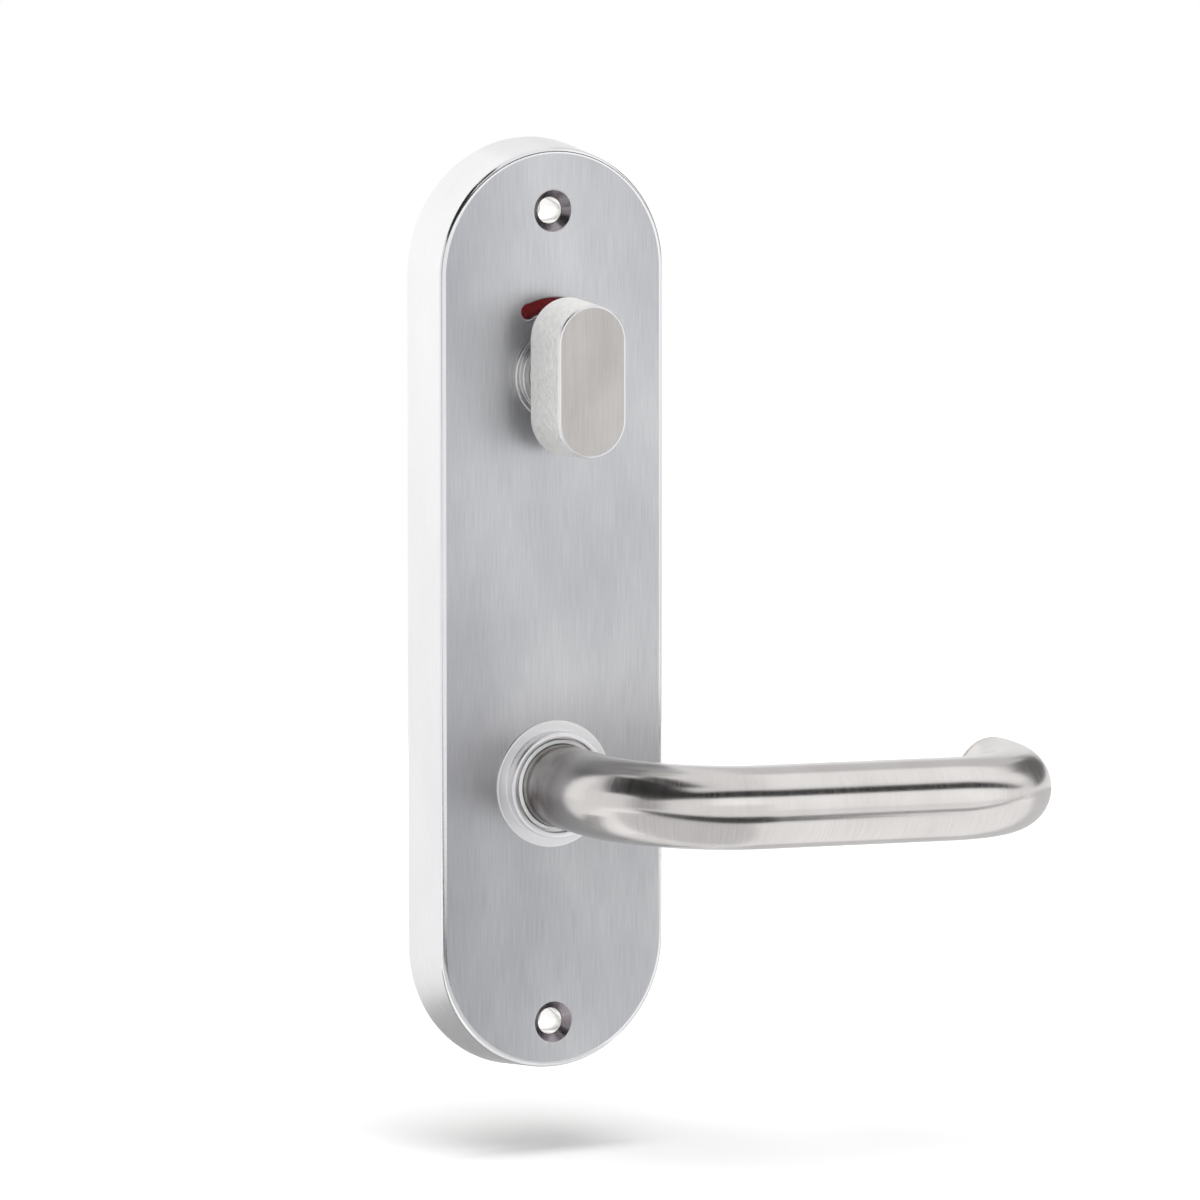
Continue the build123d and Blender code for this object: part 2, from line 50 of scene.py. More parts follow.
# Places that several pieces share
common = {
    "turnZ": 57.0, "leverZ": -42.0, "topHoleZ": 96.0, "bottomHoleZ": -100.0, "plateFront": 14.975,
    "wall": 2.0, "leverFall": 2.0,
}


def place(x, ahead, z):
    # Point = (x, minus ahead, z), from millimetres to metres
    return np.stack(np.broadcast_arrays(x, -np.asarray(ahead, float), z), -1) * millimetre


def patch(points, across, along, material=0):
    # One grid of points, with its map: across the grain and along it
    grain = np.stack(np.broadcast_arrays(across, along), -1) * millimetre
    return points, np.broadcast_to(grain, points.shape[:2] + (2,)), material


def unit(ways):
    # Each vector divided by its length
    return ways / np.maximum(np.linalg.norm(ways, axis=-1, keepdims=True), 1e-9)


def travel(profile):
    # Distance walked along a profile up to each of its points
    steps = np.hypot(*np.diff(profile, axis=0).T)
    return np.concatenate([[0], np.cumsum(steps)])


def roundedProfile(corners, radii, closed=False, steps=6, guard=0.08):
    # Each corner becomes an arc: its ends lie radius / tan(half the inner angle) from the corner, and a guard
    # point beyond each end keeps the shading of the flats flat
    points = np.asarray(corners, float)
    radii = np.maximum(np.asarray(radii, float), 1e-4)
    before, after = unit(np.roll(points, 1, 0) - points), unit(np.roll(points, -1, 0) - points)
    half = np.arccos(np.clip((before * after).sum(1), -1, 1)) / 2
    reach = (radii / np.tan(half))[:, None]
    centre = points + unit(before + after) * (radii / np.sin(half))[:, None]
    start, end = points + before * reach - centre, points + after * reach - centre
    turn = (np.pi - 2 * half)[:, None, None]
    share = np.linspace(0, 1, steps)[None, :, None]
    arc = np.sin((1 - share) * turn) * start[:, None] + np.sin(share * turn) * end[:, None]
    arc = centre[:, None] + arc / np.sin(turn)
    first = points + before * (reach + guard)
    last = points + after * (reach + guard)
    every = np.concatenate([first[:, None], arc, last[:, None]], 1)
    if closed:
        every = every.reshape(-1, 2)
        return np.vstack([every, every[:1]])
    return np.vstack([points[:1], every[1:-1].reshape(-1, 2), points[-1:]])


def slotPath(halfWidth, halfHeight, sideHeights, arcSteps):
    # Closed path round a slot from the right end of its top arc. The point at inset d is
    # (0, spine) + (halfWidth - d) * (cos angle, sin angle)
    reach = halfHeight - halfWidth
    arc = np.linspace(0, np.pi, arcSteps + 1)
    down, up = sideHeights[::-1][1:-1], sideHeights[1:-1]
    angle = [arc, np.full(len(down), np.pi), arc + np.pi, np.full(len(up) + 1, 2 * np.pi)]
    spine = [np.full(len(arc), reach), down, np.full(len(arc), -reach), up, [reach]]
    angle, spine = np.concatenate(angle), np.concatenate(spine)
    along = np.cumsum(np.abs(np.diff(angle, prepend=0)) * halfWidth + np.abs(np.diff(spine, prepend=reach)))
    return spine, np.cos(angle), np.sin(angle), along


def slotSkin(path, halfWidth, profile, centreZ=0.0, material=0):
    # A profile of (inset, ahead) carried round the slot
    spine, dx, dz, along = path
    radius = halfWidth - profile[:, 0, None]
    points = place(radius * dx, profile[:, 1, None], centreZ + spine + radius * dz)
    return patch(points, travel(profile)[:, None], along, material)


def fullTurn(steps):
    # Angles once round, both ends included
    return np.linspace(0, 2 * np.pi, steps + 1)


def turnedSkin(profile, centreZ, angle, material=0):
    # A profile of (radius, ahead) turned to each angle about an axis across the door
    radius, ahead = profile[:, 0, None], profile[:, 1, None]
    points = place(radius * np.cos(angle), ahead, centreZ + radius * np.sin(angle))
    return patch(points, travel(profile)[:, None], angle * profile[:, 0].max(), material)


def ringProfile(radii, aheads, rounds, steps=6, guard=0.03):
    # Closed profile of a stepped ring: at each place ahead it goes from one radius to the next
    corners = [(radius, ahead) for pair, ahead in zip(zip(radii, radii[1:]), aheads) for radius in pair]
    return roundedProfile(corners, rounds, closed=True, steps=steps, guard=guard)


def holedCell(outline, hole, growthWay, rows, front, material=0):
    # Rows of (share, growth, depth) lead from a cell's outline to a hole: outline * (1 - share) +
    # (hole + growth * outward direction) * share, at that depth under the front
    share, growth, depth = (column[:, None, None] for column in np.asarray(rows, float).T)
    flat = outline * (1 - share) + (hole + growthWay * growth) * share
    points = place(flat[..., 0], front - depth[..., 0], flat[..., 1])
    return patch(points, flat[..., 0], flat[..., 1] + depth[..., 0], material)


def cellOutline(first, second):
    # Closed path round a rectangle of rows and columns, from the start of both, along the first one
    sides = [
        (first[:-1], second[0]), (first[-1], second[:-1]), (first[::-1][:-1], second[-1]),
        (first[0], second[::-1]),
    ]
    return np.vstack([np.stack(np.broadcast_arrays(*side), -1) for side in sides])


def roundHole(outline, centre, radius):
    # The point of a circle in the direction of each point of the outline
    way = unit(outline - centre)
    return centre + radius * way, way


def linkObject(name, data):
    thing = bpy.data.objects.new(name, data)
    bpy.context.scene.collection.objects.link(thing)
    return thing


def makePiece(name, body, patches, looks, replaces):
    # Joins the patches into one mesh, merges their shared edges and turns every face outwards
    faces, kinds, start = [], [], 0
    for points, _, kind in patches:
        rows, columns = points.shape[:2]
        corner = np.arange(rows - 1)[:, None] * columns + np.arange(columns - 1) + start
        quads = np.stack([corner, corner + 1, corner + columns + 1, corner + columns], -1).reshape(-1, 4)
        faces.append(quads)
        kinds += [kind] * len(quads)
        start += rows * columns
    faces = np.concatenate(faces)
    points = np.concatenate([p[0].reshape(-1, 3) for p in patches])
    grain = np.concatenate([np.asarray(p[1]).reshape(-1, 2) for p in patches])
    mesh = bpy.data.meshes.new(name)
    mesh.from_pydata(points.tolist(), [], faces.tolist())
    mesh.polygons.foreach_set("material_index", kinds)
    grainMap = mesh.uv_layers.new(name="grain")
    grainMap.data.foreach_set("uv", grain[faces.ravel()].astype(np.float32).ravel())
    work = bmesh.new()
    work.from_mesh(mesh)
    bmesh.ops.remove_doubles(work, verts=work.verts, dist=mergeDistance)
    bmesh.ops.recalc_face_normals(work, faces=work.faces)
    work.to_mesh(mesh)
    openEdges = sum(not edge.is_manifold for edge in work.edges)
    work.free()
    mesh.polygons.foreach_set("use_smooth", np.ones(len(mesh.polygons), bool))
    mesh.set_sharp_from_angle(angle=np.radians(sharpAngle))
    piece = linkObject(name, mesh)
    for look in looks:
        mesh.materials.append(materials[look])
    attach(piece, body)
    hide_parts(*replaces)
    print(f"{name}: {len(mesh.polygons)} faces, {openEdges} open edges")


# Finishes. The pattern runs on object coordinates, or on the piece's own map where "follows" says so. Grain
# (fine streaks) and cloud are cells per metre, in all or in three directions, and "tint" is how much of each
# the colour takes. "rough" is the least and most roughness, "bump" its strength and depth. A painted shade
# multiplies the colour by its tint along one axis, fully at one place and not at all at another
finishes = {
    "plateSteel": {
        "light": (0.64, 0.645, 0.66), "dark": (0.46, 0.465, 0.49), "rough": (0.33, 0.42),
        "grain": (3200, 110, 3200), "cloud": (38, 17, 38), "tint": (1.3, 1.8), "bump": (0.05, 3e-5),
        "follows": "map", "anisotropic": 0.35,
        # Painted shade: the face's colour is darker and bluer towards its left edge, where less light falls
        "paintedShade": {
            "source": "Object", "axis": 0, "full": -0.03, "none": -0.004,
            "tint": (0.86, 0.865, 0.88), "patchy": 0.0,
        },
    },
    "wallSteel": {
        "light": (0.87, 0.87, 0.875), "dark": (0.76, 0.76, 0.77), "rough": (0.26, 0.34),
        "grain": (2600, 60, 2600), "cloud": (60, 25, 60), "tint": (0.8, 1.0), "bump": (0.04, 3e-5),
        "follows": "map", "anisotropic": 0.2,
    },
    "rimSteel": {
        "light": (0.84, 0.84, 0.85), "dark": (0.72, 0.72, 0.74), "rough": (0.13, 0.2),
        "grain": (1500, 90, 1500), "cloud": 90, "tint": (0.4, 0.5), "bump": (0.05, 3e-5),
        "follows": "map",
    },
    # Countersink cones: their dark purple-grey colour is painted reflection of dark surroundings, darker than
    # the plate's steel
    "sinkPaintedDarkSteel": {
        "light": (0.4, 0.365, 0.39), "dark": (0.25, 0.225, 0.245), "rough": (0.2, 0.3),
        "grain": (2500, 400, 2500), "cloud": 300, "tint": (0.5, 0.6), "bump": (0.05, 2e-5),
        "follows": "map", "anisotropic": 0.2,
    },
    "leverSteel": {
        "light": (0.72, 0.7, 0.69), "dark": (0.56, 0.535, 0.525), "rough": (0.17, 0.24),
        "grain": (3400, 90, 3400), "cloud": (70, 50, 70), "tint": (0.8, 1.0), "bump": (0.03, 2e-5),
        "follows": "map", "anisotropic": 0.6,
        # Painted shade: the tube's colour is darkened in patches over its first 31 mm, at the neck next to
        # the collar
        "paintedShade": {
            "source": "map", "axis": 0, "full": 0.008, "none": 0.031,
            "tint": (0.26, 0.23, 0.22), "patchy": 0.6,
        },
    },
    "collarSteel": {
        "light": (0.95, 0.945, 0.96), "dark": (0.84, 0.83, 0.86), "rough": (0.32, 0.42),
        "grain": (1800, 90, 1800), "cloud": 90, "tint": (0.4, 0.4), "bump": (0.03, 2e-5),
        "follows": "map", "anisotropic": 0.2,
    },
    "flangeSteel": {
        "light": (0.92, 0.92, 0.93), "dark": (0.82, 0.82, 0.835), "rough": (0.38, 0.48),
        "grain": (2400, 60, 2400), "cloud": 60, "tint": (0.3, 0.4), "bump": (0.04, 2e-5),
        "follows": "map", "anisotropic": 0.2,
    },
    "knobFront": {
        "light": (0.61, 0.59, 0.575), "dark": (0.43, 0.412, 0.398), "rough": (0.36, 0.46),
        "grain": (2600, 2600, 130), "cloud": (90, 90, 60), "tint": (1.0, 1.2), "bump": (0.08, 4e-5),
    },
    "knobCast": {
        "light": (1.0, 0.995, 0.98), "dark": (0.9, 0.895, 0.875), "rough": (0.42, 0.6),
        "grain": 900, "cloud": 520, "tint": (1.2, 2.0), "bump": (0.8, 5e-4),
        "metallic": 0.45,
    },
    "roseSteel": {
        "light": (0.74, 0.74, 0.74), "dark": (0.52, 0.52, 0.53), "rough": (0.24, 0.36),
        "grain": (1900, 90, 1900), "cloud": 260, "tint": (0.4, 0.6), "bump": (0.1, 3e-5),
        "follows": "map", "anisotropic": 0.2,
    },
    "innerSteel": {
        "light": (0.66, 0.66, 0.63), "dark": (0.48, 0.47, 0.42), "rough": (0.3, 0.46),
        "grain": 900, "cloud": 60, "tint": (0.4, 0.8), "bump": (0.12, 4e-5),
    },
    "springSteel": {
        "light": (0.5, 0.5, 0.52), "dark": (0.3, 0.3, 0.32), "rough": (0.22, 0.36),
        "grain": (1500, 1500, 300), "cloud": 120, "tint": (0.5, 0.5), "bump": (0.1, 3e-5),
    },
    "clipSteel": {
        "light": (0.13, 0.13, 0.14), "dark": (0.06, 0.06, 0.065), "rough": (0.4, 0.6),
        "grain": 1800, "cloud": 260, "tint": (0.6, 0.6), "bump": (0.2, 4e-5),
    },
    "screwSteel": {
        "light": (0.7, 0.7, 0.69), "dark": (0.5, 0.5, 0.47), "rough": (0.24, 0.38),
        "grain": (1400, 90, 1400), "cloud": 200, "tint": (0.5, 0.6), "bump": (0.12, 3e-5),
        "follows": "map",
    },
    "brass": {
        "light": (0.8, 0.64, 0.34), "dark": (0.6, 0.44, 0.2), "rough": (0.25, 0.4),
        "grain": 1500, "cloud": 150, "tint": (0.5, 0.7), "bump": (0.1, 3e-5),
    },
    "sleeveSteel": {
        "light": (0.97, 0.965, 0.96), "dark": (0.9, 0.89, 0.88), "rough": (0.12, 0.22),
        "grain": 900, "cloud": 160, "tint": (0.3, 0.5), "bump": (0.06, 3e-5),
    },
    "nylon": {
        "light": (0.9, 0.9, 0.89), "dark": (0.8, 0.8, 0.78), "rough": (0.4, 0.55),
        "grain": 1300, "cloud": 110, "tint": (0.4, 0.6), "bump": (0.1, 3e-5),
        "metallic": 0.0, "subsurface": 0.15,
    },
    "linerNylon": {
        "light": (0.98, 0.98, 0.975), "dark": (0.92, 0.92, 0.91), "rough": (0.35, 0.5),
        "grain": (1300, 90, 1300), "cloud": 110, "tint": (0.4, 0.6), "bump": (0.1, 3e-5),
        "follows": "map", "metallic": 0.0, "subsurface": 0.1,
    },
    "redEnamel": {
        "light": (0.72, 0.03, 0.045), "dark": (0.42, 0.012, 0.02), "rough": (0.18, 0.3),
        "grain": 700, "cloud": 160, "tint": (0.4, 0.7), "bump": (0.15, 4e-5),
        "metallic": 0.0, "specular": 0.15,
    },
    "clearLens": {
        "light": (0.45, 0.47, 0.47), "dark": (0.35, 0.37, 0.37), "rough": (0.03, 0.09),
        "grain": 500, "cloud": 90, "tint": (0.3, 0.5), "bump": (0.03, 2e-5),
        "metallic": 0.0, "alpha": 0.04,
    },
}
# Variants of these
finishes["greenEnamel"] = {**finishes["redEnamel"], "light": (0.02, 0.16, 0.07), "dark": (0.008, 0.07, 0.03)}
finishes["barSteel"] = {**finishes["innerSteel"], "grain": (1500, 60, 1500), "follows": "map"}
finishes["screwPlain"] = {**finishes["screwSteel"], "follows": "object"}

# What all finishes share: detail of both noises, and the parts of them that drive roughness and patches
pattern = {
    "detail": {"grain": 5.0, "cloud": 3.0},
    "roughFrom": (0.3, 0.7),
    "patchFrom": (0.42, 0.56),
    "subsurfaceScale": 0.002,
}


def setInputs(node, inputs):
    # An input takes a value, an output of another node, or a node's first output
    for key, value in dict(inputs).items():
        if isinstance(value, bpy.types.Node):
            value = value.outputs[0]
        if isinstance(value, bpy.types.NodeSocket):
            node.id_data.links.new(value, node.inputs[key])
        else:
            node.inputs[key].default_value = value
    return node


def nodeAdder(owner):
    # Gives back a function that adds a node with these inputs and settings to the owner's tree
    owner.use_nodes = True
    tree = owner.node_tree

    def add(kind, inputs=(), **settings):
        node = tree.nodes.new(kind)
        for key, value in settings.items():
            setattr(node, key, value)
        return setInputs(node, inputs)

    return add


def buildFinish(name, look):
    # Colour = dark to light by a blend of streaks and clouds, and the streaks also drive roughness and bump
    material = bpy.data.materials.new(name)
    add = nodeAdder(material)
    if look.get("follows") == "map":
        source = add("ShaderNodeUVMap", uv_map="grain")
    else:
        source = add("ShaderNodeTexCoord").outputs["Object"]

    def noise(kind):
        mapping = add("ShaderNodeMapping", {"Vector": source, "Scale": np.broadcast_to(look[kind], 3)})
        return add("ShaderNodeTexNoise", {"Vector": mapping, "Scale": 1.0, "Detail": pattern["detail"][kind]})

    def math(operation, *inputs, **settings):
        return add("ShaderNodeMath", dict(enumerate(inputs)), operation=operation, **settings)

    def mapRange(value, before, after, **settings):
        names = ("Value", "From Min", "From Max", "To Min", "To Max")
        return add("ShaderNodeMapRange", dict(zip(names, (value, *before, *after))), **settings)

    def mixColours(share, first, last, **settings):
        # The colours are inputs 6 and 7 of the node and its output 2
        return add("ShaderNodeMix", {0: share, 6: first, 7: last}, data_type="RGBA", **settings).outputs[2]

    streaks, clouds = noise("grain"), noise("cloud")
    # Blend = 0.5 + streak tint * (streaks - 0.5) + cloud tint * (clouds - 0.5)
    streakTint, cloudTint = look["tint"]
    blend = math("MULTIPLY_ADD", streaks, streakTint, 0.5 - 0.5 * (streakTint + cloudTint))
    blend = math("MULTIPLY_ADD", clouds, cloudTint, blend, use_clamp=True)
    paint = mixColours(blend, (*look["dark"], 1), (*look["light"], 1))
    if "paintedShade" in look:
        # Painted shade: colour * tint where the coordinate is at or before "full", the plain colour from
        # "none" on.
        # Patchy painted shade is weaker where the clouds are thin
        paintedShade = look["paintedShade"]
        spot = source if paintedShade["source"] == "map" else add("ShaderNodeTexCoord").outputs["Object"]
        spot = add("ShaderNodeSeparateXYZ", {0: spot}).outputs[paintedShade["axis"]]
        share = mapRange(spot, (paintedShade["none"], paintedShade["full"]), (0, 1), interpolation_type="SMOOTHSTEP")
        patches = mapRange(clouds, pattern["patchFrom"], (1 - paintedShade["patchy"], 1))
        share = math("MULTIPLY", share, patches)
        paint = mixColours(share, paint, (*paintedShade["tint"], 1), blend_type="MULTIPLY")
    strength, distance = look["bump"]
    inputs = {
        "Base Color": paint,
        "Roughness": mapRange(streaks, pattern["roughFrom"], look["rough"]),
        "Normal": add("ShaderNodeBump", {"Strength": strength, "Distance": distance, "Height": streaks}),
        "Metallic": look.get("metallic", 1.0),
        "Specular IOR Level": look.get("specular", 0.5),
        "Subsurface Weight": look.get("subsurface", 0.0),
        "Subsurface Scale": pattern["subsurfaceScale"],
        "Alpha": look.get("alpha", 1.0),
    }
    if "anisotropic" in look:
        inputs["Anisotropic"] = look["anisotropic"]
        inputs["Tangent"] = add("ShaderNodeTangent", direction_type="UV_MAP", uv_map="grain")
    setInputs(material.node_tree.nodes["Principled BSDF"], inputs)
    return material


materials = {name: buildFinish(name, look) for name, look in finishes.items()}
print("finishes:", len(materials))

# Cover plate: a pressed pan with leaning sides, two countersunk holes, two round openings and the arc window
plateShape = {
    "halfWidth": 31.5, "halfHeight": 112.5, "lean": 1.6, "sideWall": 1.6, "rimRound": 1.2,
    "innerRound": 0.8, "backRound": 0.25, "faceInset": 4.2, "arcSteps": 72, "lineSteps": 40,
    "bandHeights": (-81.0, -10.0, 30.0, 68.2, 81.0), "stepLength": 1.5, "leverHole": 12.21,
    "turnHole": 9.21, "fixingHole": 3.2, "countersink": 1.8, "windowRadius": 16.5,
    "windowHalfWidth": 1.7, "windowHalfAngle": 23.5, "windowLobe": 1.9, "windowLip": 0.3,
    "windowFrame": (0.42, 0.9), "windowArcPoints": 60, "windowLobePoints": 40,
}


def windowHole(shape, sideSteps, lineSteps):
    # Outline of the arc window in step with its cell: right lobe tip upwards, outer edge leftwards,
    # left tip downwards, inner edge rightwards
    middle = np.radians(shape["windowHalfAngle"])
    lobe, half, radius = shape["windowLobe"], shape["windowHalfWidth"], shape["windowRadius"]
    meet = np.pi - np.arcsin(half / lobe)

    def lobePoints(angles):
        # Middle of the right lobe + its radius * (cos angle * sideways + sin angle * outward)
        outward = np.array([np.sin(middle), np.cos(middle)])
        sideways = np.array([np.cos(middle), -np.sin(middle)])
        turned = np.cos(angles)[:, None] * sideways + np.sin(angles)[:, None] * outward
        return radius * outward + lobe * turned

    def arcPoints(r, side):
        # The arc runs between the points where it meets the two lobes
        reach = middle - np.arcsin(np.sqrt(lobe**2 - half**2) / r)
        angles = np.linspace(-side * reach, side * reach, shape["windowArcPoints"])[1:-1]
        return r * np.stack([np.sin(angles), np.cos(angles)], -1)

    def even(points, steps):
        # The same path in steps of equal length
        way = travel(points)
        wanted = np.linspace(0, way[-1], steps + 1)
        return np.stack([np.interp(wanted, way, points[:, k]) for k in range(2)], -1)

    mirror = np.array([-1.0, 1.0])
    tip = lobePoints(np.linspace(-np.pi / 4, np.pi / 4, sideSteps + 1))
    upper = lobePoints(np.linspace(np.pi / 4, meet, shape["windowLobePoints"]))
    lower = lobePoints(np.linspace(-meet, -np.pi / 4, shape["windowLobePoints"]))
    top = np.vstack([upper, arcPoints(radius + half, -1), upper[::-1] * mirror])
    bottom = np.vstack([lower[::-1] * mirror, arcPoints(radius - half, 1), lower])
    hole = np.vstack([tip, even(top, lineSteps)[1:], (tip[::-1] * mirror)[1:], even(bottom, lineSteps)[1:]])
    hole[-1] = hole[0]
    # Outward direction: the step from the point before to the point after, turned by a right angle
    step = np.roll(hole[:-1], -1, 0) - np.roll(hole[:-1], 1, 0)
    way = unit(np.stack([step[:, 1], -step[:, 0]], -1))
    return hole + (0, common["turnZ"]), np.vstack([way, way[:1]])


def buildPlate(shape):
    # Rim and side are one profile carried round the slot, the face is cells and a plain band
    front, wall = common["plateFront"], common["wall"]
    back = front - wall
    half, inset = shape["halfWidth"], shape["faceInset"]
    width = half - inset
    bands = shape["bandHeights"]
    heights = [np.linspace(a, b, round((b - a) / shape["stepLength"]) + 1) for a, b in zip(bands, bands[1:])]
    sideHeights = np.concatenate([heights[0]] + [h[1:] for h in heights[1:]])
    path = slotPath(half, shape["halfHeight"], sideHeights, shape["arcSteps"])
    innerLean = shape["sideWall"] + shape["lean"] * back / front
    corners = [
        (inset, front), (shape["lean"], front), (0, 0), (shape["sideWall"], 0), (innerLean, back),
        (inset, back),
    ]
    radii = [0, shape["rimRound"], shape["backRound"], 0.1, shape["innerRound"], 0]
    profile = roundedProfile(corners, radii, steps=9)
    face, sink, side, rim = range(4)  # places of the finishes in the piece's list
    rimEnd = 10  # last point of the round between the face and the side
    patches = [slotSkin(path, half, profile[1 : rimEnd + 1], material=rim)]
    patches.append(slotSkin(path, half, profile[rimEnd:], material=side))
    edge = slotSkin(path, half, profile[:2])[0]
    patches.append(patch(edge, edge[..., 0] / millimetre, edge[..., 2] / millimetre, face))

    # Outlines of the cells, against the clock: a band's from its lower right corner, a dome's from its arc
    line = np.linspace(width, -width, shape["lineSteps"] + 1)
    arc = np.linspace(0, np.pi, shape["arcSteps"] + 1)

    def band(zs):
        return cellOutline(zs, line)[:, ::-1]

    def dome(centreZ, start, lineX):
        angle = arc + start
        bow = np.stack([width * np.cos(angle), centreZ + width * np.sin(angle)], -1)
        return np.vstack([bow, np.stack([lineX, np.full(len(lineX), centreZ)], -1)[1:]])

    # Walls of the holes, as rows of (share, growth, depth): plain, countersunk, and the window's rounded lip
    plainWall = [(1, 0.5, 0), (1, 0.2, 0), (1, 0.1, 0.02), (1, 0.02, 0.1), (1, 0, 0.2), (1, 0, wall)]
    wide, lip = shape["countersink"], shape["windowLip"]
    coneTop = (1, wide - 0.03, 0.07)
    sinkEdge = [(1, wide + 0.6, 0), (1, wide + 0.16, 0), (1, wide + 0.06, 0.02), coneTop]
    sinkCone = [coneTop, (1, wide - 0.15, 0.19), (1, 0.15, wide - 0.15), (1, 0.04, wide - 0.04)]
    sinkCone += [(1, 0, wide + 0.06), (1, 0, wall)]
    turn = np.linspace(0, np.pi / 2, 7)
    windowWall = [(1, lip + 0.25, 0)] + [(1, lip * (1 - np.sin(a)), lip * (1 - np.cos(a))) for a in turn]
    windowWall += [(1, 0, lip + 0.2), (1, 0, wall - 0.1), (1, 0, wall)]

    top, bottom = dome(bands[-1], 0, line[::-1]), dome(bands[0], np.pi, line)
    cells = [
        (band(heights[0]), common["leverZ"], shape["leverHole"], plainWall, []),
        (band(heights[2]), common["turnZ"], shape["turnHole"], plainWall, []),
        (top, common["topHoleZ"], shape["fixingHole"], sinkEdge, sinkCone),
        (bottom, common["bottomHoleZ"], shape["fixingHole"], sinkEdge, sinkCone),
    ]
    for outline, z, radius, edge, cone in cells:
        hole, way = roundHole(outline, np.array((0, z)), radius)
        patches.append(holedCell(outline, hole, way, [(0, 0, 0), (0.5, 0, 0)] + edge, front))
        if cone:
            patches.append(holedCell(outline, hole, way, cone, front, material=sink))
        patches.append(holedCell(outline, hole, way, [(1, 0, wall), (0, 0, wall)], front))
    outline = band(heights[3])
    hole, way = windowHole(shape, len(heights[3]) - 1, shape["lineSteps"])
    # A smaller frame round the window keeps its rows close together
    middle = outline[:-1].mean(0)
    inner = middle + (outline - middle) * shape["windowFrame"]
    patches.append(holedCell(inner, hole, way, [(0, 0, 0)] + windowWall + [(0, 0, wall)], front))
    for depth in (0, wall):
        patches.append(holedCell(outline, inner, way, [(0, 0, depth), (1, 0, depth)], front))
    for depth in (front, back):
        points = place(line[None, :], depth, heights[1][:, None])
        patches.append(patch(points, line[None, :], heights[1][:, None]))
    # The countersink cones take the steel with the painted dark reflection
    steel = ["plateSteel", "sinkPaintedDarkSteel", "wallSteel", "rimSteel"]
    makePiece("coverPlate", "plate", patches, steel, ["cover_plate"])


buildPlate(plateShape)

# Lever collar and its liner: turned rings round the neck
collarShape = {
    "bore": 11.08, "spigot": 12.18, "ring": 12.88, "flange": 15.38, "flangeHeight": 0.5, "height": 3.7,
    "groove": 11.48, "grooveDepth": 1.5, "round": 0.8, "linerBore": 10.05, "linerRadius": 11.05,
    "linerSetBack": 0.3, "linerFlange": 13.95, "linerBack": 11.925, "aroundSteps": 160,
}


def buildCollar(shape):
    # Both rings are stepped profiles turned about the lever's axis
    front = common["plateFront"]
    back, top = front - common["wall"], front + shape["height"]
    ledge, floor = front + shape["flangeHeight"], top - shape["grooveDepth"]
    radii = [shape[key] for key in ("bore", "spigot", "flange", "ring", "groove", "bore")]
    rounds = [0.1, 0.1, 0.02, 0.05, 0.4, 0.3, shape["round"], 0.15, 0.05, 0.05]
    profile = ringProfile(radii, (back, front, ledge, top, floor), rounds, steps=8)
    flangeStart, flangeEnd = 20, 62  # points of the profile between the plate and the top round of the ring
    parts = [profile[: flangeStart + 1], profile[flangeStart : flangeEnd + 1], profile[flangeEnd:]]
    angle, centreZ = fullTurn(shape["aroundSteps"]), common["leverZ"]
    skins = [turnedSkin(part, centreZ, angle, kind) for part, kind in zip(parts, (0, 1, 0))]
    steel = ["collarSteel", "flangeSteel"]
    makePiece("leverCollar", "plate", skins, steel, ["lever_collar"])
    radii = [shape[key] for key in ("linerBore", "linerFlange", "linerRadius", "linerBore")]
    aheads = (shape["linerBack"], back, top - shape["linerSetBack"])
    skin = turnedSkin(ringProfile(radii, aheads, [0.1, 0.15, 0.15, 0.1, 0.25, 0.2]), centreZ, angle)
    makePiece("leverLiner", "plate", [skin], ["linerNylon"], ["lever_liner"])


buildCollar(collarShape)

# Lever tube: a round tube carried along a straight, a bend, the bar, a second bend and a short end
tubeShape = {
    "radius": 10.0, "wall": 1.5, "start": 12.975, "barAhead": 64.975, "reach": 110.0, "bend": 29.0,
    "endStraight": 0.5, "endRound": 0.22, "endMargin": 0.3, "screwAhead": 23.825, "screwHole": 2.53,
    "cellHalf": 5.0, "cellSteps": 10, "evenFrom": 24.0, "evenRows": 150, "aroundSteps": 96,
    "capThickness": 1.5, "capBevel": 0.6,
}


def tubePoints(shape, s, angle, radius):
    # Centre line: heading h grows from 0 to 180 degrees over two bends, x and ahead are the sums of
    # sin h and cos h along it. Surface = centre + radius * (cos angle * side + sin angle * up)
    bend = shape["bend"]
    firstRun = shape["barAhead"] - bend - shape["start"]
    quarter = bend * np.pi / 2
    barRun = shape["reach"] - 2 * bend
    firstTurn = np.clip(s - firstRun, 0, quarter) / bend
    secondTurn = np.clip(s - firstRun - quarter - barRun, 0, quarter) / bend
    bar = np.clip(s - firstRun - quarter, 0, barRun)
    tail = np.maximum(s - firstRun - 2 * quarter - barRun, 0)
    heading = firstTurn + secondTurn
    x = bend * (1 - np.cos(firstTurn)) + bar + bend * np.sin(secondTurn)
    ahead = shape["start"] + np.minimum(s, firstRun) + bend * np.sin(firstTurn)
    ahead = ahead - bend * (1 - np.cos(secondTurn)) - tail
    x = x - radius * np.cos(angle) * np.cos(heading)
    ahead = ahead + radius * np.cos(angle) * np.sin(heading)
    z = radius * np.sin(angle)
    fall = np.radians(common["leverFall"])
    up = common["leverZ"] - x * np.sin(fall) + z * np.cos(fall)
    return place(x * np.cos(fall) + z * np.sin(fall), ahead, up)


